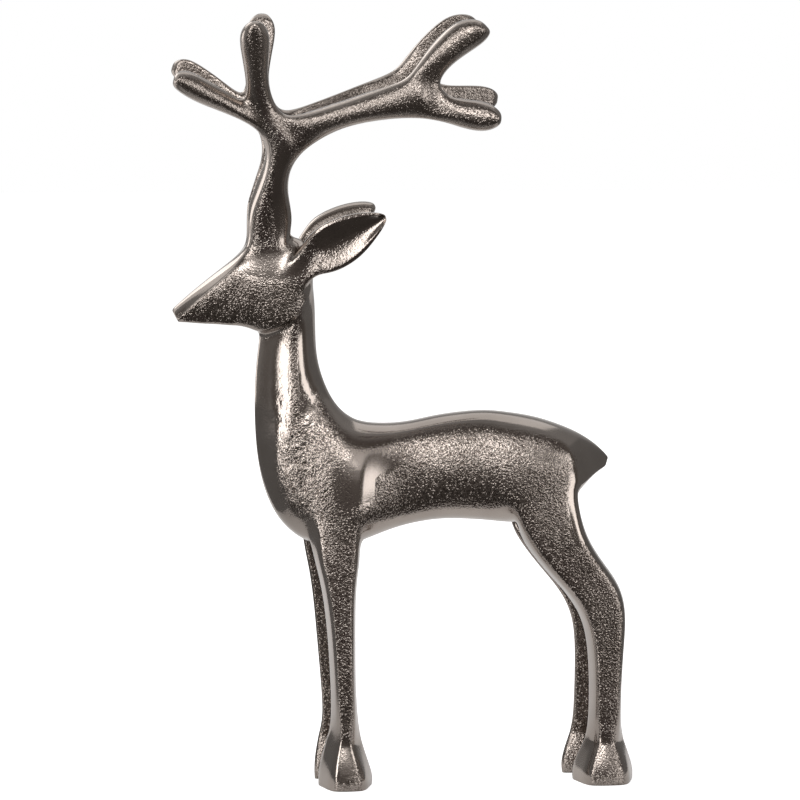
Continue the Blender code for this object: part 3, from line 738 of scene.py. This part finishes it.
# Two grey cards stand at the figure's sides, unseen by the camera, so that the metal's edges stay
# dark. Rows are name, x, y, height.
CARD_LENGTH = 0.22
CARDS = (("left_card", -0.15, 0.03, 0.12), ("right_card", 0.20, 0.05, 0.24))
card_paper = bpy.data.materials.new("grey_card")
card_paper.use_nodes = True
card_face = card_paper.node_tree.nodes["Principled BSDF"]
card_face.inputs["Base Color"].default_value = (0.04, 0.04, 0.04, 1)
card_face.inputs["Roughness"].default_value = 0.9
card_face.inputs["Emission Color"].default_value = (1, 1, 1, 1)
card_face.inputs["Emission Strength"].default_value = 0.16
for name, x, y, height in CARDS:
    bpy.ops.mesh.primitive_plane_add(size=1, location=(0, 0, 0))
    card = bpy.context.object
    card.name = name
    card.data.transform(Matrix.Diagonal((height, CARD_LENGTH, 1, 1)))
    card.data.transform(Matrix.Rotation(math.radians(90), 4, "Y"))
    card.data.transform(Matrix.Translation((x, y, height / 2)))
    card.visible_camera = False
    card.data.materials.append(card_paper)


# The studio: white paper all round for the camera, but the figure reflects a room that is white
# straight behind it, grey at the sides and overhead, and darker below and on the camera's side
world = bpy.data.worlds.new("studio")
bpy.context.scene.world = world
world.use_nodes = True
air = world.node_tree
room = air.nodes["Background"]
room.inputs["Color"].default_value = (1, 1, 1, 1)
direction = air.nodes.new("ShaderNodeTexCoord")
parts = air.nodes.new("ShaderNodeSeparateXYZ")
air.links.new(direction.outputs["Generated"], parts.inputs[0])
depth_share = air.nodes.new("ShaderNodeMapRange")
depth_share.inputs["From Min"].default_value = -1
air.links.new(parts.outputs["Y"], depth_share.inputs["Value"])
walls = air.nodes.new("ShaderNodeValToRGB")
walls.color_ramp.elements[0].position = 0.30
walls.color_ramp.elements[0].color = (0.14, 0.127, 0.118, 1)
walls.color_ramp.elements[1].position = 0.995
walls.color_ramp.elements[1].color = (1, 1, 1, 1)
for position, shade in ((0.45, 0.34), (0.75, 0.30), (0.93, 0.36), (0.97, 0.65)):
    walls.color_ramp.elements.new(position).color = (shade, shade, shade, 1)
air.links.new(depth_share.outputs[0], walls.inputs["Fac"])
seen = air.nodes.new("ShaderNodeLightPath")
shown = air.nodes.new("ShaderNodeMix")
shown.data_type = "RGBA"
shown.inputs["B"].default_value = (1, 1, 1, 1)
air.links.new(seen.outputs["Is Camera Ray"], shown.inputs["Factor"])
low_share = air.nodes.new("ShaderNodeMapRange")
low_share.inputs["From Min"].default_value = -0.5
low_share.inputs["From Max"].default_value = -0.1
low_share.inputs["To Min"].default_value = 0.5
air.links.new(parts.outputs["Z"], low_share.inputs["Value"])
darker = air.nodes.new("ShaderNodeMix")
darker.data_type = "RGBA"
darker.inputs["A"].default_value = (0, 0, 0, 1)
air.links.new(low_share.outputs[0], darker.inputs["Factor"])
air.links.new(walls.outputs["Color"], darker.inputs["B"])
air.links.new(darker.outputs["Result"], shown.inputs["A"])
air.links.new(shown.outputs["Result"], room.inputs["Color"])


ROOM_MIDDLE = Vector((0, 0, 0.13))


def soft_box(name, azimuth, elevation, distance, width, height, brightness):
    """An area light aimed at the figure's middle; azimuth 0 is the side of the camera"""
    a = math.radians(azimuth)
    e = math.radians(elevation)
    away = Vector((math.sin(a) * math.cos(e), -math.cos(a) * math.cos(e), math.sin(e)))
    light = bpy.data.lights.new(name, "AREA")
    light.shape = "RECTANGLE"
    light.size = width
    light.size_y = height
    light.energy = brightness * math.pi * width * height
    lamp = bpy.data.objects.new(name, light)
    bpy.context.collection.objects.link(lamp)
    lamp.location = ROOM_MIDDLE + away * distance
    lamp.rotation_euler = away.to_track_quat("Z", "Y").to_euler()


soft_box("left_box", -46, 8, 1.5, 0.46, 1.2, 4.0)
soft_box("right_box", 40, 6, 1.6, 0.56, 1.0, 2.4)
soft_box("top_box", -5, 29, 1.4, 1.3, 0.85, 0.8)
soft_box("top_lamp", -8, 25, 1.35, 0.50, 0.30, 5.6)
soft_box("left_wall", -115, 40, 1.5, 0.9, 1.05, 0.8)
soft_box("left_strip", -110, 5, 1.5, 0.6, 0.5, 2.4)
soft_box("back_left", -143, 37, 1.5, 0.8, 0.6, 2.3)
soft_box("low_front", 0, 6, 1.5, 0.9, 0.24, 0.2)
soft_box("back_ceiling", 180, 62, 1.5, 1.6, 1.3, 0.75)


# The camera stands low in front of the near side, a little towards the nose
AIM = Vector((-0.0012, 0.00576, 0.1285))
AZIMUTH = math.radians(-6.5)
ELEVATION = math.radians(5.5)
DISTANCE = 1.1
towards = Vector((
    math.sin(AZIMUTH) * math.cos(ELEVATION),
    -math.cos(AZIMUTH) * math.cos(ELEVATION),
    math.sin(ELEVATION),
))
lens = bpy.data.cameras.new("camera")
lens.sensor_width = 36
lens.lens = 148.5
camera = bpy.data.objects.new("camera", lens)
bpy.context.collection.objects.link(camera)
camera.location = AIM + towards * DISTANCE
camera.rotation_euler = towards.to_track_quat("Z", "Y").to_euler()
bpy.context.scene.camera = camera
bpy.context.scene.view_settings.view_transform = "Standard"
